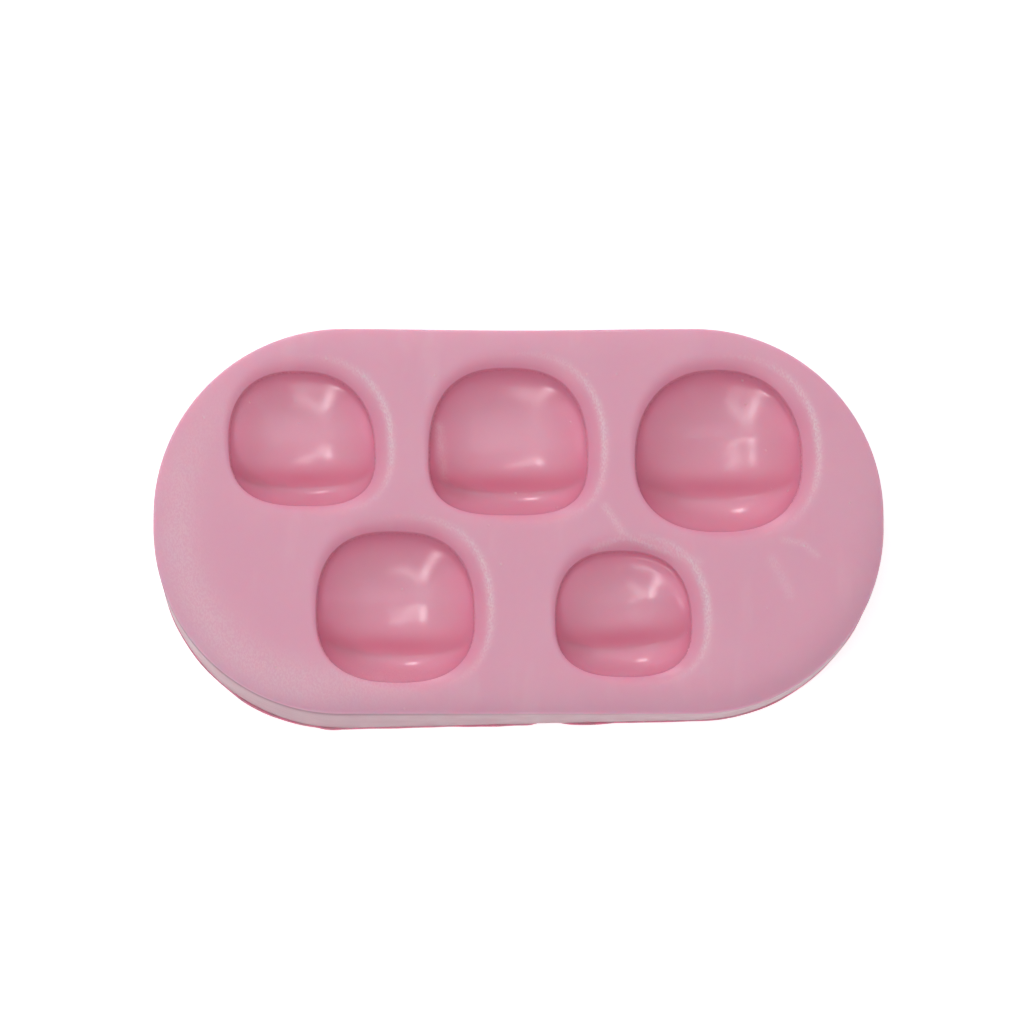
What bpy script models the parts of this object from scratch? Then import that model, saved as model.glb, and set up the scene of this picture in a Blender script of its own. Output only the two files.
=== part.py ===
"""Silicone soap mould: a round-ended slab with five open cavities, cast as three bonded layers.

The face coat is the first pour. It carries the rounded top edge and hangs down in a cup round
each cavity. The backing slab fills in behind it, with a recess for every cup, and the base skin
closes the foot. Metres, +Z up, origin at the middle of the foot, +X along the slab.
"""

import math

import bmesh
import bpy
from mathutils import Matrix, Vector

MM = 0.001

# Slab
LENGTH = 90.0 * MM
WIDTH = 48.1 * MM
HEIGHT = 11.2 * MM
CORNER_RADIUS = 23.3 * MM
WAIST = 0.2 * MM  # how far the long far side is drawn in at its middle
FOOT_TURN = math.radians(1.4)  # the foot is twisted this much against the top face
CORNER_STEPS = 18
SIDE_STEPS = 6

# Layers, from the top down
COAT_THICKNESS = 2.0 * MM
LAYER_GAP = 0.3 * MM
SKIN_THICKNESS = 0.8 * MM
SKIN_OUTSET = 0.12 * MM
SKIN_CHAMFER = 0.15 * MM
EDGE_PROFILE = ((0.0, 0.95), (0.12, 0.62), (0.5, 0.38), (1.6, 0.2), (3.6, 0.0))  # inset, drop, mm

# Cavities: what all five share
CAVITY_SIDES = 48
BOWL_RINGS = (1.0, 0.985, 0.94, 0.88, 0.8, 0.7, 0.6, 0.5, 0.4, 0.3, 0.2, 0.1)  # share of the mouth
BOWL_POWER_FAR = 2.4  # the higher the power, the steeper the wall and the flatter the middle
BOWL_POWER_NEAR = 3.3
BOWL_POWER_SIDE = 2.3
BOWL_ROOT = 2.0
POWER_BLEND = 1.5 * MM  # how gently the near wall turns into the far one
LIP_NARROW = 0.5 * MM  # width of the rounded lip on its narrow side
LIP_WIDE = 3.3 * MM
LIP_SIDE = math.radians(30)  # direction in which a lip is widest
LIP_STEEPNESS = 0.3
LIP_RINGS = ((1.12, -0.25), (0.5, 0.25))  # share of the lip's width, share of its depth
RIDGE_SPREAD = 13.0 * MM  # far slope of the cross ridge
RIDGE_EDGE = 9  # the higher, the closer to the mouth the ridge fades out
CREST_SLOPE = 0.3  # near slope of the cross ridge before it drops to the crease
CREST_RADIUS = 1.0 * MM
CREASE_POWER = 4.6
CREASE_SOFTNESS = 0.16
CREASE_BOW = 0.2

# Cups: the coat's wall round each cavity
CUP_WALL = 1.2 * MM
CUP_FLOOR = 0.8 * MM
CUP_SIDES = 24
CUP_TOP = 1.0 * MM  # below the top face, inside the coat
CUP_SHOULDER = 3.0 * MM
CUP_TAPER = ((0.92, -0.2), (0.76, 0.9), (0.55, 1.0))  # share of the mouth, share of the cup's floor

# name: (middle x, belly line y, half width, far reach, near reach, far power, near power, lean,
#        depth, crest y from the belly line, fall from crest to crease, ridge height, ridge tilt),
#        lengths in mm
CAVITIES = {
    "far_left": (-26.7, 8.8, 9.05, 9.9, 7.15, 2.4, 2.7, 0.055, 7.5, 2.2, 5.8, 3.1, 0.0),
    "far_middle": (-1.25, 7.8, 9.85, 11.3, 7.3, 2.55, 2.9, 0.0, 7.9, 2.1, 5.2, 3.1, -0.01),
    "far_right": (24.7, 7.3, 10.35, 11.55, 8.9, 2.27, 2.35, 0.0, 8.6, 4.0, 7.1, 3.3, 0.0),
    "near_left": (-15.1, -12.1, 9.75, 10.65, 8.2, 2.6, 2.5, 0.02, 8.4, 2.8, 6.4, 3.3, -0.03),
    "near_right": (12.9, -13.0, 8.4, 9.15, 6.6, 2.5, 2.6, 0.02, 6.8, 3.8, 5.6, 2.8, 0.06),
}

COLLECTION_NAME = "silicone_soap_mould"
CUTTERS_NAME = "silicone_soap_mould_cutters"


def bowl_power(plan):
    """The bowl's steepness: the near wall is steeper than the far one, and the ends are gentler."""
    across = (plan.y / max(plan.length, 1e-6 * MM)) ** 2
    far_share = 1 / (1 + math.exp(-plan.y / POWER_BLEND))
    power = BOWL_POWER_NEAR + (BOWL_POWER_FAR - BOWL_POWER_NEAR) * far_share
    return BOWL_POWER_SIDE + (power - BOWL_POWER_SIDE) * across


class Cavity:
    """The plan outline and the depth of one cavity."""

    def __init__(self, numbers):
        middle, belly, half, far, near, far_power, near_power, lean = numbers[:8]
        depth, crest, fall, ridge, tilt = numbers[8:]
        self.centre = Vector((middle * MM, belly * MM))
        self.half = half * MM
        self.reach = {1: far * MM, -1: near * MM}
        self.power = {1: far_power, -1: near_power}
        self.lean = lean
        self.depth = depth * MM
        self.crest = crest * MM
        self.fall = fall * MM
        self.ridge = ridge * MM
        self.tilt = tilt

    def outline(self, angle, share=1.0, offset=0.0):
        """A point of the mouth, scaled by share and pushed out by offset, from the centre."""
        side = 1 if math.sin(angle) >= 0 else -1
        bend = 2 / self.power[side]
        x = math.copysign(abs(math.cos(angle)) ** bend, math.cos(angle)) * self.half
        y = side * abs(math.sin(angle)) ** bend * self.reach[side]
        plan = Vector((x - self.lean * y, y)) * share
        return plan + plan.normalized() * offset

    def lip_width(self, plan):
        """Width of the rounded lip in the direction of a plan point."""
        facing = (1 + math.cos(math.atan2(plan.y, plan.x) - LIP_SIDE)) / 2
        return LIP_NARROW + (LIP_WIDE - LIP_NARROW) * facing

    def floor(self, plan, share):
        """Depth below the top face at a plan point that lies at this share of the mouth."""
        lip = LIP_STEEPNESS * self.lip_width(plan)
        bowl = (1 - share ** bowl_power(plan)) ** (1 / BOWL_ROOT)
        return lip + (self.depth - lip) * bowl - self.ridge_height(plan, share)

    def ridge_height(self, plan, share):
        """The cross ridge: a long far slope, a rounded crest, and a near slope down to a crease."""
        along = plan.y - self.crest - self.tilt * plan.x
        if along > 0:
            rise = math.exp(-((along / RIDGE_SPREAD) ** 2))
        else:
            fall = self.fall * (1 - CREASE_BOW * (plan.x / self.half) ** 2)
            slope = CREST_SLOPE * (math.hypot(along, CREST_RADIUS) - CREST_RADIUS)
            drop = slope + (self.ridge - CREST_SLOPE * fall) * abs(along / fall) ** CREASE_POWER
            left = 1 - drop / self.ridge
            rise = (left + math.hypot(left, CREASE_SOFTNESS)) / (1 + math.hypot(1, CREASE_SOFTNESS))
        return self.ridge * rise * (1 - share**RIDGE_EDGE)


def clear_scene():
    for obj in list(bpy.data.objects):
        bpy.data.objects.remove(obj, do_unlink=True)


def new_collection(name):
    collection = bpy.data.collections.new(name)
    bpy.context.scene.collection.children.link(collection)
    return collection


def new_material(name, color, roughness):
    material = bpy.data.materials.new(name)
    material.use_nodes = True
    shader = material.node_tree.nodes["Principled BSDF"]
    shader.inputs["Base Color"].default_value = (*color, 1.0)
    shader.inputs["Roughness"].default_value = roughness
    shader.inputs["Metallic"].default_value = 0.0
    shader.inputs["IOR"].default_value = 1.41
    return material


def steps(count):
    """The angles of a closed ring of this many points."""
    return [2 * math.pi * index / count for index in range(count)]


def slab_ring(z, inset=0.0):
    """The slab's outline at this height: four quarter circles joined by straight sides."""
    radius = CORNER_RADIUS - inset
    reach_x = LENGTH / 2 - CORNER_RADIUS
    reach_y = WIDTH / 2 - CORNER_RADIUS
    points = []
    for quarter, (sign_x, sign_y) in enumerate(((1, 1), (-1, 1), (-1, -1), (1, -1))):
        for step in range(CORNER_STEPS + 1):
            angle = math.pi / 2 * (quarter + step / CORNER_STEPS)
            x = sign_x * reach_x + radius * math.cos(angle)
            y = sign_y * reach_y + radius * math.sin(angle)
            points.append(Vector((x, y, z)))
        if quarter in (0, 2):
            points.extend(long_side(points[-1], -2 * sign_x * reach_x, sign_y))
    turn = Matrix.Rotation(FOOT_TURN * (1 - z / HEIGHT), 3, "Z")
    return [turn @ point for point in points]


def long_side(start, run, side):
    """The points between two corners. The far side is drawn in a little at its middle."""
    points = []
    for step in range(1, SIDE_STEPS):
        share = step / SIDE_STEPS
        drawn_in = WAIST * math.sin(math.pi * share) ** 2 if side > 0 else 0.0
        points.append(start + Vector((run * share, -drawn_in, 0.0)))
    return points


def cavity_rings(cavity):
    """Rings from above the top face, down the lip and the wall, to the bowl's middle."""
    rings = []
    for width_share, depth_share in LIP_RINGS:
        ring = []
        for angle in steps(CAVITY_SIDES):
            width = cavity.lip_width(cavity.outline(angle))
            plan = cavity.outline(angle, 1.0, width_share * width)
            ring.append(world_point(cavity, plan, depth_share * LIP_STEEPNESS * width))
        rings.append(ring)
    for share in BOWL_RINGS:
        ring = [cavity.outline(angle, share) for angle in steps(CAVITY_SIDES)]
        rings.append([world_point(cavity, plan, cavity.floor(plan, share)) for plan in ring])
    middle = Vector((0.0, 0.0))
    return rings, world_point(cavity, middle, cavity.floor(middle, 0.0))


def cup_rings(cavity, clearance=0.0):
    """Rings of the cup that holds a cavity, grown by clearance for its recess."""
    wall = CUP_WALL + clearance
    floor = CUP_FLOOR + clearance
    profile = [(1.0, CUP_TOP), (1.0, CUP_SHOULDER)]
    profile += [(share, cavity.depth + drop * floor) for share, drop in CUP_TAPER]
    rings = []
    for share, depth in profile:
        ring = [cavity.outline(angle, share, wall) for angle in steps(CUP_SIDES)]
        rings.append([world_point(cavity, plan, depth) for plan in ring])
    return rings


def world_point(cavity, plan, depth):
    place = cavity.centre + plan
    return Vector((place.x, place.y, HEIGHT - depth))


def loft(name, rings, collection, material=None, tip=None):
    """A closed solid through rings of equal point counts, flat at the ends unless it has a tip."""
    mesh = bmesh.new()
    loops = [[mesh.verts.new(point) for point in ring] for ring in rings]
    for upper, lower in zip(loops, loops[1:]):
        for index, corner in enumerate(upper):
            after = (index + 1) % len(upper)
            mesh.faces.new((corner, lower[index], lower[after], upper[after]))
    mesh.faces.new(loops[0])
    if tip is None:
        mesh.faces.new(loops[-1])
    else:
        end = mesh.verts.new(tip)
        for index, corner in enumerate(loops[-1]):
            mesh.faces.new((corner, end, loops[-1][(index + 1) % len(loops[-1])]))
    bmesh.ops.recalc_face_normals(mesh, faces=mesh.faces)
    return add_object(name, mesh, collection, material)


def add_object(name, mesh, collection, material):
    data = bpy.data.meshes.new(name)
    mesh.to_mesh(data)
    mesh.free()
    data.shade_smooth()
    data.set_sharp_from_angle(angle=math.radians(40))
    obj = bpy.data.objects.new(name, data)
    collection.objects.link(obj)
    if material:
        data.materials.append(material)
    return obj


def helper(name, rings, collection, tip=None):
    """A solid that only cuts or joins, so it doesn't render."""
    obj = loft(name, rings, collection, tip=tip)
    obj.hide_render = True
    obj.display_type = "WIRE"
    return obj


def boolean(target, other, operation):
    modifier = target.modifiers.new(f"{operation.lower()}_{other.name}", "BOOLEAN")
    modifier.operation = operation
    modifier.solver = "EXACT"
    modifier.object = other


def make_face_coat(collection, cutters, material):
    """The first pour: rounded top edge, five mouths with rounded lips, and a cup for each."""
    edge = [(inset * MM, HEIGHT - drop * MM) for inset, drop in reversed(EDGE_PROFILE)]
    rings = [slab_ring(z, inset) for inset, z in edge] + [slab_ring(HEIGHT - COAT_THICKNESS)]
    coat = loft("face_coat", rings, collection, material)
    cavities = {name: Cavity(numbers) for name, numbers in CAVITIES.items()}
    for name, cavity in cavities.items():
        boolean(coat, helper(f"cup_{name}", cup_rings(cavity), cutters), "UNION")
    for name, cavity in cavities.items():
        rings, tip = cavity_rings(cavity)
        boolean(coat, helper(f"cavity_{name}", rings, cutters, tip), "DIFFERENCE")


def make_backing_slab(collection, cutters, material):
    """The second pour, with a recess for each cup of the coat."""
    top = HEIGHT - COAT_THICKNESS - LAYER_GAP
    bottom = SKIN_THICKNESS + LAYER_GAP
    slab = loft("backing_slab", [slab_ring(top), slab_ring(bottom)], collection, material)
    for name, numbers in CAVITIES.items():
        rings = cup_rings(Cavity(numbers), LAYER_GAP)
        boolean(slab, helper(f"recess_{name}", rings, cutters), "DIFFERENCE")


def make_base_skin(collection, material):
    """The thin trimmed skin under the slab, which it rests on."""
    profile = (
        (SKIN_THICKNESS, -SKIN_OUTSET / 2),
        (SKIN_CHAMFER, -SKIN_OUTSET),
        (0.0, SKIN_CHAMFER - SKIN_OUTSET),
    )
    loft("base_skin", [slab_ring(z, inset) for z, inset in profile], collection, material)


def main():
    clear_scene()
    parts = new_collection(COLLECTION_NAME)
    cutters = new_collection(CUTTERS_NAME)
    make_face_coat(parts, cutters, new_material("face_silicone", (0.64, 0.32, 0.42), 0.42))
    make_backing_slab(parts, cutters, new_material("backing_silicone", (0.6, 0.29, 0.39), 0.3))
    make_base_skin(parts, new_material("skin_silicone", (0.55, 0.21, 0.32), 0.45))


main()
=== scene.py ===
"""Looks of the silicone soap mould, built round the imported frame. Lengths are in millimetres until
the last step, which makes them metres."""

import math

import bpy
import numpy as np
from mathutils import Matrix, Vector
from mathutils.geometry import delaunay_2d_cdt


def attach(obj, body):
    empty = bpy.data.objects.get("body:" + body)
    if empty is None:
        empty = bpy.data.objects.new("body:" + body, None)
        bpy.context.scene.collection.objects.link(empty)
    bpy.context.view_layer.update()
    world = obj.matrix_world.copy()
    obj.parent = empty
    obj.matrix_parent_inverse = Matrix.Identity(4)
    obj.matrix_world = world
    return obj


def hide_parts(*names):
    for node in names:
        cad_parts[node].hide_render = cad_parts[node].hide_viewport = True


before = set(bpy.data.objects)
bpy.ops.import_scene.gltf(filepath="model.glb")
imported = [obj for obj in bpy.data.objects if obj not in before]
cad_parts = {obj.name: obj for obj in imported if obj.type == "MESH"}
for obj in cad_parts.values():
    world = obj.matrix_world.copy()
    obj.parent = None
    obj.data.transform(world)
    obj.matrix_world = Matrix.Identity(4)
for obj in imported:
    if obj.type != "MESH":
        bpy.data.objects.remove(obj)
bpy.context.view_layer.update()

MM = 0.001

# Slab: outline, height and twist as in the CAD
LENGTH = 90.0
WIDTH = 48.1
HEIGHT = 11.2
CORNER_RADIUS = 23.3
WAIST = 0.2
FOOT_TURN = math.radians(1.4)
COAT_LINE = HEIGHT - 2.0  # the seam between the face and the backing
SKIN_TOP = 0.8
REACH_X = LENGTH / 2 - CORNER_RADIUS
REACH_Y = WIDTH / 2 - CORNER_RADIUS

# Top face
CROWN_WIDTH = 6.5
CROWN_DROP = 0.5
CROWN_MIDDLE = 1.6  # the rim drops more on the near side: this share of the drop at the middle,
CROWN_SWAY = 0.6  # this much more or less towards the near and far side
CROWN_BLEND = 8.0
EDGE_RADIUS = 0.35
RIM_INSETS = (0.0, 0.02, 0.07, 0.15, 0.25, 0.36, 0.5, 0.8, 1.2)
LIP_NARROW = 0.5
LIP_WIDE = 3.3
LIP_STEEPNESS = 0.3
LIP_SIDE = np.array((math.cos(math.radians(30)), math.sin(math.radians(30))))
LIP_OFFSETS = (1.3, 1.05, 0.82, 0.62, 0.45, 0.3, 0.18, 0.08, 0.0)  # rings outside a mouth
# Faint raised flow marks in the face: (start, end, height, width)
FLOW_MARKS = (
    ((10.6, 1.6), (13.2, -2.2), 0.07, 0.45),
    ((13.2, -2.2), (16.4, -3.4), 0.06, 0.5),
    ((16.4, -3.4), (22.2, -5.4), 0.05, 0.5),
    ((13.2, -2.2), (9.4, -3.6), 0.05, 0.5),
    ((32.6, -2.6), (35.0, -3.1), 0.05, 0.35),
    ((35.0, -3.1), (36.8, -4.6), 0.05, 0.35),
    ((31.2, -5.0), (33.4, -9.4), 0.04, 0.7),
    ((-9.8, 12.0), (-9.2, 6.0), 0.04, 0.6),
)
MARK_ROOM = 0.08  # the face is this much lower, so that the marks stay inside the CAD box

# Masks: gloss, white scuffs and painted highlight, painted shade on steep walls and in the crease
LIP_POLISH = 0.55
POLISH_FADE = 0.1
# The band inside the rim at the near left: partly frosty scuffs, partly painted highlight facing the
# left light
FROST_GLINT_TURN = math.radians(199)
FROST_GLINT_SPREAD = math.radians(40)
FROST_GLINT_STRENGTH = 0.45
FROST_GLINT_INSET = 3.2
FROST_GLINT_WIDTH = 2.6
# Painted highlight arcs on each lip, on the side that faces the left light
ARC_TURN = math.radians(18)
ARC_SHARE = 0.36
ARC_WIDTH = 0.13
MARK_WHITENING = 9
SIDE_REACH = 0.06
# Painted shade on a cavity's steep walls, reaching onto the lips: how far and how sharply it sets in
STEEP_SHADE_REACH = 1.2
STEEP_SHADE_POWER = 4
# Where painted shade goes in the crease and on the near wall below it
CREASE_PLACE = 0.85
CREASE_REACH = 1.3
CREASE_NEAR_WALL = 0.5

# Trimmed foot on the near side: (middle x, reach, how far out)
TRIM_MARKS = ((-24.0, 1.2, 0.16), (3.2, 1.9, -0.3), (8.4, 2.6, 0.2), (-33.0, 2.5, 0.12))
TRIM_WAVES = ((0.04, 7, 0.6), (0.03, 17, 0.0), (0.02, 41, 2.0))  # depth, waves round the foot, phase
SKIN_PROFILE = ((0.0, 0.0), (0.1, -0.1), (0.35, -0.1), (0.6, -0.06), (SKIN_TOP, 0.02))  # z, inset

# Cavities
BOWL_POWER_FAR = 2.4
BOWL_POWER_NEAR = 3.3
BOWL_POWER_SIDE = 2.3
BOWL_ROOT = 2.0
POWER_BLEND = 1.5
RIDGE_SPREAD = 13.0
RIDGE_EDGE = 9
CREST_SLOPE = 0.3
CREST_RADIUS = 1.0
CREASE_POWER = 4.6
CREASE_SOFTNESS = 0.16
CREASE_BOW = 0.2
# name: (middle x, belly line y, half width, far reach, near reach, far power, near power, lean,
#        depth, crest y from the belly line, fall from crest to crease, ridge height, ridge tilt)
CAVITIES = {
    "far_left": (-26.7, 8.8, 9.05, 9.9, 7.15, 2.4, 2.7, 0.055, 7.5, 2.2, 5.8, 3.1, 0.0),
    "far_middle": (-1.25, 7.8, 9.85, 11.3, 7.3, 2.55, 2.9, 0.0, 7.9, 2.1, 5.2, 3.1, -0.01),
    "far_right": (24.7, 7.3, 10.35, 11.55, 8.9, 2.27, 2.35, 0.0, 8.6, 4.0, 7.1, 3.3, 0.0),
    "near_left": (-15.1, -12.1, 9.75, 10.65, 8.2, 2.6, 2.5, 0.02, 8.4, 2.8, 6.4, 3.3, -0.03),
    "near_right": (12.9, -13.0, 8.4, 9.15, 6.6, 2.5, 2.6, 0.02, 6.8, 3.8, 5.6, 2.8, 0.06),
}
CUP_WALL = 1.2
CUP_SHOULDER = 3.0
CUP_TAPER = ((0.92, -0.2), (0.76, 0.9), (0.55, 1.0))  # share of the mouth, drop in wall thicknesses
SEAM = 0.01  # between two layers

# Mesh fineness
CORNER_STEPS = 90
SIDE_STEPS = 86
END_STEPS = 3
CAVITY_SIDES = 160
CUP_SIDES = 48
STEEP_RINGS = 21
STEEP_REACH = 0.75
FLOOR_RINGS = 40
WALL_RINGS = 12
COAT_RINGS = ((0.0, 0.05), (0.06, 0.01), (0.2, 0.0), (0.4, 0.0))  # above the coat's line, inset
FILL_SPACING = 0.42
FILL_CLEARANCE = 0.6  # share of the spacing


def bowl_power(plan):
    """The bowl's steepness: the near wall is steeper than the far one, and the ends are gentler."""
    length = np.maximum(np.linalg.norm(plan, axis=1), 1e-6)
    across = (plan[:, 1] / length) ** 2
    far_side = 1 / (1 + np.exp(-plan[:, 1] / POWER_BLEND))
    power = BOWL_POWER_NEAR + (BOWL_POWER_FAR - BOWL_POWER_NEAR) * far_side
    return BOWL_POWER_SIDE + (power - BOWL_POWER_SIDE) * across


class Cavity:
    """The plan outline and the depth of one cavity, for arrays of points."""

    def __init__(self, numbers):
        middle, belly, *rest = numbers
        self.centre = np.array((middle, belly))
        self.half, self.far, self.near, self.far_power, self.near_power, self.lean = rest[:6]
        self.depth, self.crest, self.fall, self.ridge, self.tilt = rest[6:]

    def outline(self, sides, share=1.0, offset=0.0):
        """The mouth as a ring of plan points from the centre, scaled by share, pushed out by offset."""
        angle = 2 * math.pi * np.arange(sides) / sides
        upper = np.sin(angle) >= 0
        bend = 2 / np.where(upper, self.far_power, self.near_power)
        reach = np.where(upper, self.far, -self.near)
        x = np.sign(np.cos(angle)) * np.abs(np.cos(angle)) ** bend * self.half
        y = np.abs(np.sin(angle)) ** bend * reach
        plan = np.stack((x - self.lean * y, y), 1)
        outward = plan / np.linalg.norm(plan, axis=1, keepdims=True)
        return plan * share + outward * offset

    def share(self, plan):
        """Which share of the mouth a plan point lies at: 1 on the outline, more outside it."""
        y = plan[:, 1]
        x = plan[:, 0] + self.lean * y
        power = np.where(y >= 0, self.far_power, self.near_power)
        reach = np.where(y >= 0, self.far, self.near)
        return (np.abs(x / self.half) ** power + np.abs(y / reach) ** power) ** (1 / power)

    def lip_share(self, plan):
        """How much of the rounded lip is left at plan points: 1 at the mouth, 0 past the lip."""
        share = np.maximum(self.share(plan), 1.0)
        length = np.maximum(np.linalg.norm(plan, axis=1), 1e-6)
        facing = (1 + (plan @ LIP_SIDE) / length) / 2
        width = LIP_NARROW + (LIP_WIDE - LIP_NARROW) * facing
        return np.clip(1 - length * (1 - 1 / share) / width, 0, 1), width

    def lip(self, plan):
        """Depth of the rounded lip, which is widest on the far right side of each mouth."""
        left, width = self.lip_share(plan)
        return LIP_STEEPNESS * width * left**2

    def surface(self, plan, share, lip):
        """Height of the cavity's surface, where lip is the height of the mouth's edge."""
        bowl = (1 - share ** bowl_power(plan)) ** (1 / BOWL_ROOT)
        along = plan[:, 1] - self.crest - self.tilt * plan[:, 0]
        fall = self.fall * (1 - CREASE_BOW * (plan[:, 0] / self.half) ** 2)
        slope = CREST_SLOPE * (np.hypot(along, CREST_RADIUS) - CREST_RADIUS)
        drop = slope + (self.ridge - CREST_SLOPE * fall) * np.abs(along / fall) ** CREASE_POWER
        left = 1 - drop / self.ridge
        near_side = (left + np.hypot(left, CREASE_SOFTNESS)) / (1 + math.hypot(1, CREASE_SOFTNESS))
        rise = np.where(along > 0, np.exp(-((along / RIDGE_SPREAD) ** 2)), near_side)
        ridge = self.ridge * rise * (1 - share**RIDGE_EDGE)
        return lip + (HEIGHT - self.depth - lip) * bowl + ridge


MOULD = {name: Cavity(numbers) for name, numbers in CAVITIES.items()}


def rim_distance(place):
    """How far inside the slab's rim plan points are."""
    x = np.abs(place[:, 0]) - REACH_X
    y = np.abs(place[:, 1]) - REACH_Y
    outside = np.hypot(np.maximum(x, 0), np.maximum(y, 0))
    return CORNER_RADIUS - outside - np.minimum(np.maximum(x, y), 0)


def polish(place):
    """How glossy the face is: 1 in the cavities, 0 on the flat, in between on the lips."""
    result = np.zeros(len(place))
    for cavity in MOULD.values():
        plan = place - cavity.centre
        result = np.maximum(result, LIP_POLISH * cavity.lip_share(plan)[0])
        within = np.clip((1 - cavity.share(plan)) / POLISH_FADE, -1, 1 - LIP_POLISH)
        result = np.maximum(result, LIP_POLISH + within)
    return result


def frost_and_glint(place):
    """Where white is painted: a band inside the rim at the near left, partly frosty scuffs and partly
    painted highlight; painted highlight arcs on the lips; whitened marks.
    """
    turn = turned(place, FROST_GLINT_TURN)
    around = np.exp(-((turn / FROST_GLINT_SPREAD) ** 4))
    band = np.exp(-(((rim_distance(place) - FROST_GLINT_INSET) / FROST_GLINT_WIDTH) ** 2))
    result = FROST_GLINT_STRENGTH * around * band
    for cavity in MOULD.values():
        plan = place - cavity.centre
        left = cavity.lip_share(plan)[0]
        arc = np.exp(-(((left - ARC_SHARE) / ARC_WIDTH) ** 2))
        facing = (1 + np.cos(turned(plan, ARC_TURN))) / 2
        result = np.maximum(result, arc * facing**4)
    return np.maximum(result, MARK_WHITENING * flow_marks(place))


def side(place):
    """1 on the slab's wall, 0 on its top face."""
    return np.clip(1 - rim_distance(place) / SIDE_REACH, 0, 1)


def clean(place):
    """Painted shade: a deeper, redder colour on a cavity's steep walls and lips, not its shallow
    middle.
    """
    result = np.zeros(len(place))
    for cavity in MOULD.values():
        share = cavity.share(place - cavity.centre)
        steep = np.where(share < STEEP_SHADE_REACH, np.minimum(share, 1) ** STEEP_SHADE_POWER, 0)
        result = np.maximum(result, steep)
    return result


def crease(place):
    """How near a point is to the deep crease across a cavity, fading to its ends: where painted shade
    goes, in the crease and on the near wall below it.
    """
    result = np.zeros(len(place))
    for cavity in MOULD.values():
        plan = place - cavity.centre
        along = plan[:, 1] - cavity.crest - cavity.tilt * plan[:, 0] + CREASE_PLACE * cavity.fall
        across = np.clip(1 - (plan[:, 0] / cavity.half) ** 2, 0, 1)
        band = np.exp(-((along / CREASE_REACH) ** 2))
        band = across * np.where(along < 0, np.maximum(band, CREASE_NEAR_WALL), band)
        result = np.maximum(result, np.where(cavity.share(plan) < 1, band, 0))
    return result


def turned(place, turn):
    """Angle of plan points from a direction, from 0 to half a turn."""
    angle = np.arctan2(place[:, 1], place[:, 0])
    return np.abs(np.mod(angle - turn + math.pi, 2 * math.pi) - math.pi)


def flow_marks(place):
    """Height of the faint raised marks at plan points."""
    height = np.zeros(len(place))
    for start, end, rise, width in FLOW_MARKS:
        start, run = np.array(start), np.subtract(end, start)
        along = np.clip((place - start) @ run / (run @ run), 0, 1)
        gap = np.linalg.norm(place - start - along[:, None] * run, axis=1)
        height = np.maximum(height, rise * np.exp(-((gap / width) ** 2)))
    return height


def face_height(place):
    """Height of the printed face outside the mouths, without the rim's own small radius."""
    drop = CROWN_DROP * (CROWN_MIDDLE - CROWN_SWAY * np.tanh(place[:, 1] / CROWN_BLEND))
    crown = drop * np.clip(1 - rim_distance(place) / CROWN_WIDTH, 0, 1) ** 3
    lips = sum(cavity.lip(place - cavity.centre) for cavity in MOULD.values())
    return HEIGHT - MARK_ROOM - crown - lips + flow_marks(place)


def slab_ring(inset=0.0):
    """The slab's outline as plan points: four quarter circles joined by straight sides."""
    radius = CORNER_RADIUS - inset
    points = []
    for quarter, (sign_x, sign_y) in enumerate(((1, 1), (-1, 1), (-1, -1), (1, -1))):
        angle = math.pi / 2 * (quarter + np.arange(CORNER_STEPS + 1) / CORNER_STEPS)
        corner = np.array((sign_x * REACH_X, sign_y * REACH_Y))
        points.extend(corner + radius * np.stack((np.cos(angle), np.sin(angle)), 1))
        if quarter in (0, 2):
            steps, run = SIDE_STEPS, (-2 * sign_x * REACH_X, 0.0)
        else:
            steps, run = END_STEPS, (0.0, -2 * sign_y * REACH_Y)
        start = points[-1]
        points.extend(start + np.array(run) * step / steps for step in range(1, steps))
    return np.array(points)


def drawn_in(place):
    """Moves plan points near the long far side in, most at its middle."""
    middle = np.cos(math.pi / 2 * np.clip(place[:, 0] / REACH_X, -1, 1)) ** 2
    side = np.clip(1 - (WIDTH / 2 - place[:, 1]) / 6, 0, 1)
    return place - np.stack((np.zeros(len(place)), WAIST * middle * side), 1)


def twisted(place, z):
    """Turns plan points about the middle, more towards the foot."""
    turn = FOOT_TURN * (1 - np.asarray(z) / HEIGHT)
    x, y = place[:, 0], place[:, 1]
    return np.stack((x * np.cos(turn) - y * np.sin(turn), x * np.sin(turn) + y * np.cos(turn)), 1)


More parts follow.
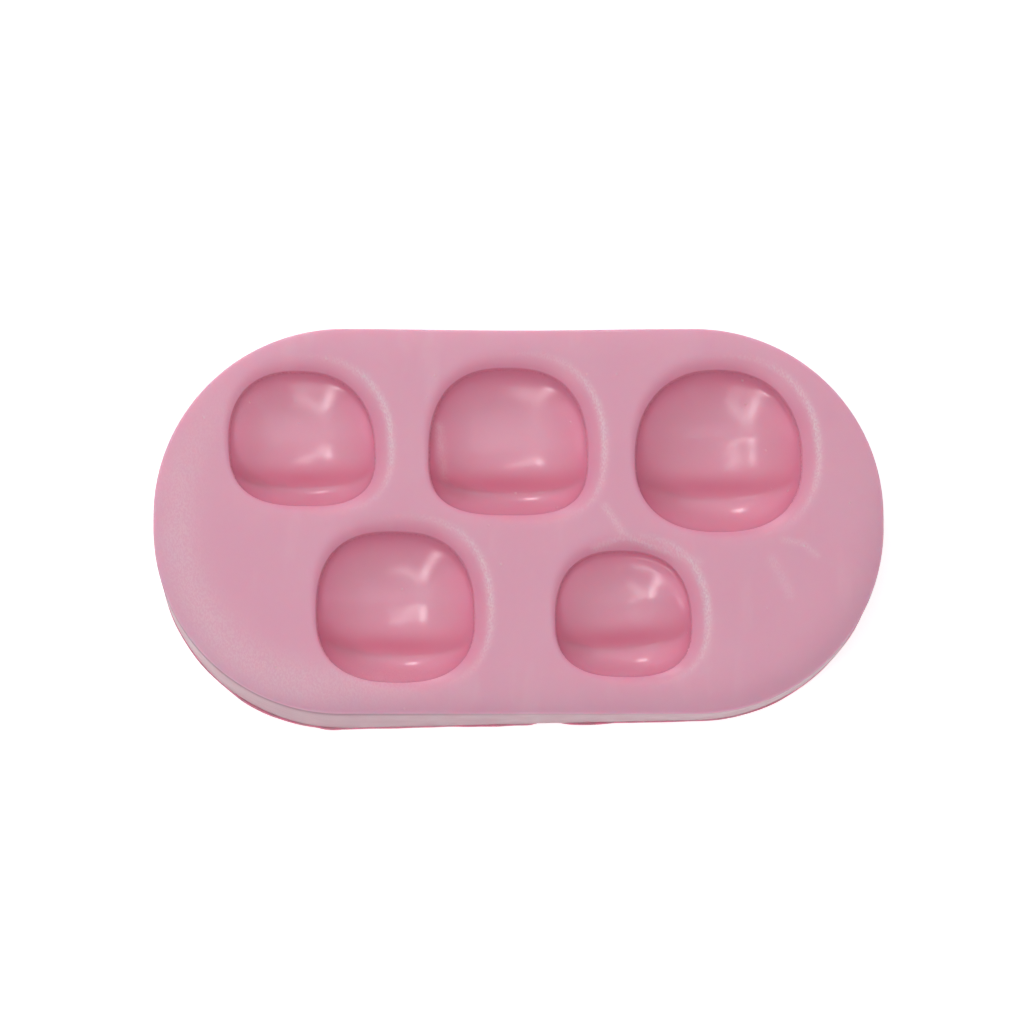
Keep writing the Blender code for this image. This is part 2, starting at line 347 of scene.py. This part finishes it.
class Builder:
    """Collects points and faces, with helpers that loft rings and fill plates."""

    def __init__(self):
        self.points = []
        self.faces = []
        self.count = 0

    def add(self, points):
        first = self.count
        self.points.append(np.asarray(points, float))
        self.count += len(points)
        return np.arange(first, self.count)

    def ring(self, place, z):
        return self.add(np.column_stack((place, np.broadcast_to(z, len(place)))))

    def band(self, outer, inner, flip=False):
        """Quads between two rings of one length. Faces look up when outer goes counterclockwise."""
        after_outer, after_inner = np.roll(outer, -1), np.roll(inner, -1)
        quads = np.stack((outer, after_outer, after_inner, inner), 1)
        self.faces.extend((quads[:, ::-1] if flip else quads).tolist())

    def fan(self, ring, tip, flip=False):
        after = np.roll(ring, -1)
        triangles = np.stack((ring, after, np.full(len(ring), tip)), 1)
        self.faces.extend((triangles[:, ::-1] if flip else triangles).tolist())

    def plate(self, outer, holes, height, flip=False):
        """Fills between an outer ring and the hole rings with even triangles."""
        rings = [outer, *holes]
        stack = np.concatenate(self.points)
        border = np.concatenate([stack[ring][:, :2] for ring in rings])
        edges, start = [], 0
        for ring in rings:
            index = np.arange(len(ring)) + start
            edges.extend(np.stack((index, np.roll(index, -1)), 1).tolist())
            start += len(ring)
        inner = hexagonal_points(stack[outer][:, :2], [stack[hole][:, :2] for hole in holes])
        plan = np.concatenate((border, inner))
        result = delaunay_2d_cdt([Vector(p) for p in plan], edges, [], 0, 1e-7)
        made, triangles = np.array([v[:] for v in result[0]]), np.array(result[2])
        middle = made[triangles].mean(1)
        keep = inside(middle, stack[outer][:, :2])
        for hole in holes:
            keep &= ~inside(middle, stack[hole][:, :2])
        added = self.ring(made[len(border):], height(made[len(border):]))
        lookup = np.concatenate((np.concatenate(rings), added))
        triangles = lookup[triangles[keep]]
        self.faces.extend((triangles[:, ::-1] if flip else triangles).tolist())

    def to_object(self, name, material):
        points = np.concatenate(self.points)
        mesh = bpy.data.meshes.new(name)
        mesh.from_pydata((points * MM).tolist(), [], self.faces)
        mesh.validate()
        mesh.update()
        mesh.shade_smooth()
        for mask in (polish, frost_and_glint, side, clean, crease):
            values = mask(points[:, :2]).astype(np.float32)
            mesh.attributes.new(mask.__name__, "FLOAT", "POINT").data.foreach_set("value", values)
        mesh.materials.append(material)
        piece = bpy.data.objects.new(name, mesh)
        bpy.context.scene.collection.objects.link(piece)
        return piece


def inside(plan, outline):
    """Which plan points lie inside a closed outline, by counting crossings."""
    result = np.zeros(len(plan), bool)
    x, y = plan[:, 0], plan[:, 1]
    for (x0, y0), (x1, y1) in zip(outline, np.roll(outline, -1, 0)):
        if y0 == y1:
            continue
        crosses = (y0 > y) != (y1 > y)
        result ^= crosses & (x < (x1 - x0) * (y - y0) / (y1 - y0) + x0)
    return result


def hexagonal_points(outer, holes):
    """An even triangular grid of plan points, clear of every outline."""
    low, high = outer.min(0), outer.max(0)
    rows = []
    for number, y in enumerate(np.arange(low[1], high[1], FILL_SPACING * math.sqrt(0.75))):
        x = np.arange(low[0], high[0], FILL_SPACING) + (number % 2) * FILL_SPACING / 2
        rows.append(np.stack((x, np.full(len(x), y)), 1))
    grid = np.concatenate(rows)
    grid = grid[inside(grid, outer)]
    for hole in holes:
        grid = grid[~inside(grid, hole)]
    for outline in (outer, *holes):
        gap = np.full(len(grid), 1e9)
        for point in outline:
            gap = np.minimum(gap, np.hypot(*(grid - point).T))
        grid = grid[gap > FILL_SPACING * FILL_CLEARANCE]
    return grid


def cavity_surface(builder, cavity):
    """The rounded lip, walls and floor of a cavity. Returns its outermost ring."""
    outermost = last = None
    for offset in LIP_OFFSETS:
        plan = cavity.outline(CAVITY_SIDES, 1.0, offset)
        ring = builder.ring(plan + cavity.centre, face_height(plan + cavity.centre))
        if last is None:
            outermost = ring
        else:
            builder.band(last, ring)
        last = ring
    lip = face_height(cavity.outline(CAVITY_SIDES) + cavity.centre)
    descent = np.linspace(0, STEEP_REACH, STEEP_RINGS)[1:]
    steep = (1 - descent**BOWL_ROOT) ** (1 / BOWL_POWER_FAR)
    for share in (*steep, *np.linspace(steep[-1], 0, FLOOR_RINGS)[1:-1]):
        plan = cavity.outline(CAVITY_SIDES, share)
        ring = builder.ring(plan + cavity.centre, cavity.surface(plan, share, lip))
        builder.band(last, ring)
        last = ring
    tip = np.zeros((1, 2))
    builder.fan(last, builder.ring(tip + cavity.centre, cavity.surface(tip, 0.0, lip[:1]))[0])
    return outermost


def cup_surface(builder, cavity, wall, top, flip):
    """The outside of the coat round a cavity, hidden in the slab. Returns its top ring."""
    profile = [(1.0, top), (1.0, HEIGHT - CUP_SHOULDER)]
    profile += [(share, HEIGHT - cavity.depth - drop * wall) for share, drop in CUP_TAPER]
    rings = []
    for share, z in profile:
        place = cavity.outline(CUP_SIDES, share, wall) + cavity.centre
        rings.append(builder.ring(place, z))
        if len(rings) > 1:
            builder.band(rings[-2], rings[-1], flip)
    tip = builder.ring(cavity.centre[None], profile[-1][1])[0]
    builder.fan(rings[-1], tip, flip)
    return rings[0]


def make_face(material):
    """The printed face with its rim, and the cups under it."""
    builder = Builder()
    holes = [cavity_surface(builder, cavity) for cavity in MOULD.values()]
    rings = []
    for inset in RIM_INSETS:
        place = drawn_in(slab_ring(inset))
        gone = max(EDGE_RADIUS - inset, 0.0)
        rounding = EDGE_RADIUS - math.sqrt(EDGE_RADIUS**2 - gone**2)
        rings.append(builder.ring(place, face_height(slab_ring(inset)) - rounding))
    for outer, inner in zip(rings, rings[1:]):
        builder.band(outer, inner)
    builder.plate(rings[-1], holes, face_height)
    line = wall_rings(builder, [(COAT_LINE + above, inset) for above, inset in COAT_RINGS])
    for lower, upper in zip(line, line[1:]):
        builder.band(lower, upper)
    builder.band(line[-1], rings[0])
    cups = [cup_surface(builder, cavity, CUP_WALL, COAT_LINE, True) for cavity in MOULD.values()]
    builder.plate(line[0], cups, lambda place: COAT_LINE, True)
    return builder.to_object("moulded_face", material)


def wall_rings(builder, profile):
    """Rings on the slab's wall, from pairs of a height and an inset."""
    rings = []
    for z, inset in profile:
        place = twisted(drawn_in(slab_ring(inset)), z)
        rings.append(builder.ring(place, z))
    return rings


def make_wall(material):
    """The bulk pour: the slab's wall, with recesses for the cups."""
    builder = Builder()
    top = COAT_LINE - SEAM
    foot = SKIN_TOP + SEAM
    profile = [(foot, 0.08), (SKIN_TOP + 0.08, 0.02)]
    profile += [(z, 0.0) for z in np.linspace(1.2, top - 0.5, WALL_RINGS)]
    profile += [(top - 0.06, 0.01), (top, 0.05)]
    rings = wall_rings(builder, profile)
    for lower, upper in zip(rings, rings[1:]):
        builder.band(lower, upper)
    recesses = [cup_surface(builder, cavity, CUP_WALL + 0.02, top, False)
                for cavity in MOULD.values()]
    builder.plate(rings[-1], recesses, lambda place: top)
    builder.fan(rings[0], builder.ring(np.zeros((1, 2)), foot)[0], True)
    return builder.to_object("backing_wall", material)


def trimmed(place):
    """Moves plan points at the foot in and out, where the skin was cut by hand."""
    angle = np.arctan2(place[:, 1], place[:, 0])
    cut = sum(depth * np.sin(waves * angle + phase) for depth, waves, phase in TRIM_WAVES)
    near = place[:, 1] < 0
    for middle, reach, out in TRIM_MARKS:
        cut += near * out * np.exp(-(((place[:, 0] - middle) / reach) ** 4))
    return place * (1 + cut / np.linalg.norm(place, axis=1))[:, None]


def make_skin(material):
    """The thin skin at the foot, with its hand-trimmed edge."""
    builder = Builder()
    rings = []
    for z, inset in SKIN_PROFILE:
        place = twisted(drawn_in(trimmed(slab_ring(inset))), z)
        rings.append(builder.ring(place, z))
    for lower, upper in zip(rings, rings[1:]):
        builder.band(lower, upper)
    builder.fan(rings[-1], builder.ring(np.zeros((1, 2)), SKIN_TOP)[0])
    builder.fan(rings[0], builder.ring(np.zeros((1, 2)), 0.0)[0], True)
    return builder.to_object("trimmed_foot", material)


# Materials

FACE_PINK = (0.89, 0.44, 0.575)
FACE_PALE = (0.9, 0.455, 0.585)
BOWL_PINK = (0.87, 0.435, 0.555)
# Painted shade: the steep cavity walls and the crease get deeper, darker pinks
STEEP_SHADE_PINK = (0.93, 0.285, 0.435)
CREASE_SHADE_PINK = (0.75, 0.29, 0.40)
# Scuffs and painted highlight: the white of the lip arcs, the near-left band, marks, streaks and specks
SCUFF_AND_GLINT_WHITE = (1.0, 0.68, 0.74)
# Painted shade: the wall is the same silicone, given a darker, greyer pink for its shade
WALL_SHADE_PINK = (0.49, 0.25, 0.31)
WALL_SHADE_PALE = (0.54, 0.3, 0.355)
FOOT_PINK = (0.72, 0.2, 0.33)


class Silicone:
    """A silicone material, whose colour, roughness and bump are built from procedural nodes."""

    def __init__(self, name):
        self.material = bpy.data.materials.new(name)
        self.material.use_nodes = True
        self.nodes, self.links = self.material.node_tree.nodes, self.material.node_tree.links
        self.shader = self.nodes["Principled BSDF"]
        self.shader.inputs["IOR"].default_value = 1.41
        self.shader.inputs["Subsurface Weight"].default_value = 0.8
        self.shader.inputs["Subsurface Radius"].default_value = (1.0, 0.25, 0.35)
        self.shader.inputs["Subsurface Scale"].default_value = 2.5 * MM
        self.place = self.nodes.new("ShaderNodeTexCoord").outputs["Object"]

    def put(self, socket, value):
        if isinstance(value, bpy.types.NodeSocket):
            self.links.new(value, socket)
        else:
            socket.default_value = value

    def mask(self, name):
        node = self.nodes.new("ShaderNodeAttribute")
        node.attribute_name = name
        return node.outputs["Fac"]

    def stretched(self, scale, turn=0.0):
        """Coordinates that are stretched, for streaks, after a turn about the vertical."""
        node = self.nodes.new("ShaderNodeMapping")
        self.put(node.inputs["Vector"], self.place)
        node.inputs["Rotation"].default_value = (0.0, 0.0, turn)
        node.inputs["Scale"].default_value = scale
        return node.outputs["Vector"]

    def noise(self, size, detail=2.0, place=None):
        """Noise from 0 to 1 with features of this size in millimetres."""
        node = self.nodes.new("ShaderNodeTexNoise")
        self.put(node.inputs["Vector"], place or self.place)
        node.inputs["Scale"].default_value = 1 / (size * MM)
        node.inputs["Detail"].default_value = detail
        return node.outputs["Fac"]

    def cells(self, size):
        """Distance to the nearest of many scattered points, and one random value for each."""
        node = self.nodes.new("ShaderNodeTexVoronoi")
        self.put(node.inputs["Vector"], self.place)
        node.inputs["Scale"].default_value = 1 / (size * MM)
        return node.outputs["Distance"], node.outputs["Color"]

    def spread(self, value, low, high, to_low=0.0, to_high=1.0):
        """Maps a value between two limits, smoothly, onto another range."""
        node = self.nodes.new("ShaderNodeMapRange")
        node.interpolation_type = "SMOOTHSTEP"
        for socket, number in zip(node.inputs, (value, low, high, to_low, to_high)):
            self.put(socket, number)
        return node.outputs["Result"]

    def math(self, operation, *values):
        node = self.nodes.new("ShaderNodeMath")
        node.operation = operation
        for socket, value in zip(node.inputs, values):
            self.put(socket, value)
        return node.outputs["Value"]

    def mix(self, share, first, second):
        """Mixes two colours."""
        node = self.nodes.new("ShaderNodeMix")
        node.data_type = "RGBA"
        colors = [socket for socket in node.inputs if socket.type == "RGBA"]
        self.put(node.inputs["Factor"], share)
        for socket, color in zip(colors, (first, second)):
            self.put(socket, color if isinstance(color, bpy.types.NodeSocket) else (*color, 1.0))
        return next(socket for socket in node.outputs if socket.type == "RGBA")

    def bump(self, height, depth, base=None):
        """Bump from a height of 0 to 1, this many millimetres deep."""
        node = self.nodes.new("ShaderNodeBump")
        node.inputs["Strength"].default_value = 1.0
        node.inputs["Distance"].default_value = depth * MM
        self.put(node.inputs["Height"], height)
        if base:
            self.put(node.inputs["Normal"], base)
        return node.outputs["Normal"]

    def finish(self, color, roughness, normal):
        self.put(self.shader.inputs["Base Color"], color)
        self.put(self.shader.inputs["Roughness"], roughness)
        self.put(self.shader.inputs["Normal"], normal)
        return self.material


def face_silicone():
    """Satin printed face, glossier cavities with painted shade on steep walls and in the crease, scuffs
    and painted highlight, specks and wiped streaks.
    """
    silicone = Silicone("face")
    gloss, frost_and_glint_mask, wall = (silicone.mask(name) for name in ("polish", "frost_and_glint", "side"))
    flat = silicone.mix(silicone.spread(silicone.noise(9.0, 4.0), 0.35, 0.65), FACE_PINK, FACE_PALE)
    # Painted shade: steep walls and the crease are given deeper, darker pinks
    bowl = silicone.mix(silicone.mask("clean"), BOWL_PINK, STEEP_SHADE_PINK)
    bowl = silicone.mix(silicone.mask("crease"), bowl, CREASE_SHADE_PINK)
    color = silicone.mix(gloss, flat, bowl)
    grain = silicone.noise(0.22, 3.0)
    scratch = silicone.noise(0.18, 4.0, silicone.stretched((1.0, 0.6, 1.0), math.radians(35)))
    scuffs_and_glint = silicone.math("MULTIPLY", frost_and_glint_mask, silicone.spread(scratch, 0.36, 0.64, 0.3, 1.15))
    wiped = silicone.noise(5.0, 3.0, silicone.stretched((1.0, 0.3, 1.0), math.radians(-25)))
    wiped = silicone.spread(wiped, 0.56, 0.72)
    matt = silicone.math("SUBTRACT", 1.0, gloss)
    wiped = silicone.math("MULTIPLY", wiped, matt)
    even = silicone.math("MULTIPLY", matt, silicone.noise(3.5, 2.0))
    distance, random = silicone.cells(2.6)
    speck = silicone.spread(distance, 0.04, 0.085, 1.0, 0.0)
    speck = silicone.math("MULTIPLY", speck, silicone.math("GREATER_THAN", random, 0.62))
    # White from scuffs and painted highlight (lip arcs, near-left band), whitened marks, wiped streaks
    # and specks
    white = silicone.math("MULTIPLY", scuffs_and_glint, 0.95)
    white = silicone.math("MULTIPLY_ADD", wiped, 0.15, white)
    white = silicone.math("MULTIPLY_ADD", speck, 0.35, white)
    color = silicone.mix(white, color, SCUFF_AND_GLINT_WHITE)
    # Painted shade: the face's rim strip takes the wall's darker colour
    color = silicone.mix(wall, color, WALL_SHADE_PINK)
    roughness = silicone.spread(gloss, 0.0, 1.0, 0.42, 0.185)
    roughness = silicone.math("MULTIPLY_ADD", silicone.spread(grain, 0.3, 0.7), 0.05, roughness)
    roughness = silicone.math("MULTIPLY_ADD", wiped, -0.06, roughness)
    normal = silicone.bump(even, 0.05)
    normal = silicone.bump(silicone.noise(2.5, 2.0), 0.006, normal)
    normal = silicone.bump(grain, 0.004, normal)
    normal = silicone.bump(silicone.math("MULTIPLY", scuffs_and_glint, scratch), 0.008, normal)
    normal = silicone.bump(speck, 0.05, normal)
    return silicone.finish(color, roughness, normal)


def wall_silicone():
    """Cast wall with faint level lines, in a darker pink that paints its shade, whiter where the scuff
    and painted-highlight band reaches it.
    """
    silicone = Silicone("wall")
    lines = silicone.noise(1.2, 4.0, silicone.stretched((0.05, 0.05, 3.2)))
    cloud = silicone.noise(3.0, 3.0)
    color = silicone.mix(silicone.spread(lines, 0.35, 0.65), WALL_SHADE_PINK, WALL_SHADE_PALE)
    blotches = silicone.spread(cloud, 0.2, 0.7, 0.2, 0.6)
    pale = silicone.math("MULTIPLY", silicone.mask("frost_and_glint"), blotches)
    color = silicone.mix(pale, color, SCUFF_AND_GLINT_WHITE)
    roughness = silicone.spread(cloud, 0.3, 0.7, 0.34, 0.44)
    normal = silicone.bump(lines, 0.015)
    normal = silicone.bump(silicone.noise(0.3, 2.0), 0.003, normal)
    return silicone.finish(color, roughness, normal)


def foot_silicone():
    """Deeper pink trimmed skin with a ragged surface."""
    silicone = Silicone("foot")
    cut = silicone.noise(0.9, 4.0)
    color = silicone.mix(silicone.spread(cut, 0.3, 0.7), FOOT_PINK, WALL_SHADE_PINK)
    normal = silicone.bump(cut, 0.08)
    return silicone.finish(color, silicone.spread(cut, 0.2, 0.8, 0.35, 0.55), normal)


# Stage

# name: (direction from the slab, distance, width, height, power), in metres and watts
LIGHTS = {
    "overhead": ((0.0, 0.36, 1.0), 0.8, 1.4, 1.1, 3.9),
    "pane": ((-0.45, -0.36, 0.82), 0.7, 0.08, 0.07, 0.5),
    "near": ((-0.2, -0.39, 0.9), 0.7, 0.3, 0.022, 0.52),
    "far": ((-0.25, 0.82, 0.52), 0.7, 0.12, 0.12, 0.85),
}
CAMERA_ELEVATION = math.radians(80)
CAMERA_DISTANCE = 0.7
CAMERA_TARGET = (-0.8, 0.84, HEIGHT)


def make_floor():
    """A plain pale floor, which isn't part of the object."""
    size = 1.5
    mesh = bpy.data.meshes.new("floor")
    corners = ((-size, -size, 0), (size, -size, 0), (size, size, 0), (-size, size, 0))
    mesh.from_pydata(corners, [], [(0, 1, 2, 3)])
    floor = bpy.data.objects.new("floor", mesh)
    bpy.context.scene.collection.objects.link(floor)
    material = bpy.data.materials.new("floor")
    material.use_nodes = True
    shader = material.node_tree.nodes["Principled BSDF"]
    shader.inputs["Base Color"].default_value = (0.93, 0.93, 0.93, 1.0)
    shader.inputs["Roughness"].default_value = 0.9
    shader.inputs["Emission Color"].default_value = (1.0, 1.0, 1.0, 1.0)
    shader.inputs["Emission Strength"].default_value = 0.62
    mesh.materials.append(material)


def softbox(name, direction, distance, width, height, power):
    """A rectangular light that points at the slab from this direction."""
    data = bpy.data.lights.new(name, "AREA")
    data.shape = "RECTANGLE"
    data.size, data.size_y = width, height
    data.energy = power
    light = bpy.data.objects.new(name, data)
    bpy.context.scene.collection.objects.link(light)
    target = Vector((0.0, 0.0, HEIGHT * MM))
    light.location = target + Vector(direction).normalized() * distance
    light.rotation_euler = (target - light.location).to_track_quat("-Z", "Y").to_euler()


def make_lights():
    world = bpy.data.worlds.new("studio")
    bpy.context.scene.world = world
    world.use_nodes = True
    background = world.node_tree.nodes["Background"]
    background.inputs["Color"].default_value = (1.0, 1.0, 1.0, 1.0)
    background.inputs["Strength"].default_value = 0.17
    for name, numbers in LIGHTS.items():
        softbox(name, *numbers)


def make_camera():
    camera = bpy.data.objects.new("camera", bpy.data.cameras.new("camera"))
    camera.data.lens = 200
    camera.data.sensor_width = 36
    target = Vector(CAMERA_TARGET) * MM
    away = Vector((0, -math.cos(CAMERA_ELEVATION), math.sin(CAMERA_ELEVATION)))
    camera.location = target + away * CAMERA_DISTANCE
    camera.rotation_euler = (target - camera.location).to_track_quat("-Z", "Y").to_euler()
    bpy.context.scene.collection.objects.link(camera)
    bpy.context.scene.camera = camera


def show(piece, node):
    """Puts a piece on the part's one body, in place of its CAD solid."""
    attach(piece, "root")
    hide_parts(node)


def main():
    bpy.context.scene.view_settings.view_transform = "Standard"
    make_camera()
    make_floor()
    make_lights()
    show(make_face(face_silicone()), "face_coat")
    show(make_wall(wall_silicone()), "backing_slab")
    show(make_skin(foot_silicone()), "base_skin")


main()
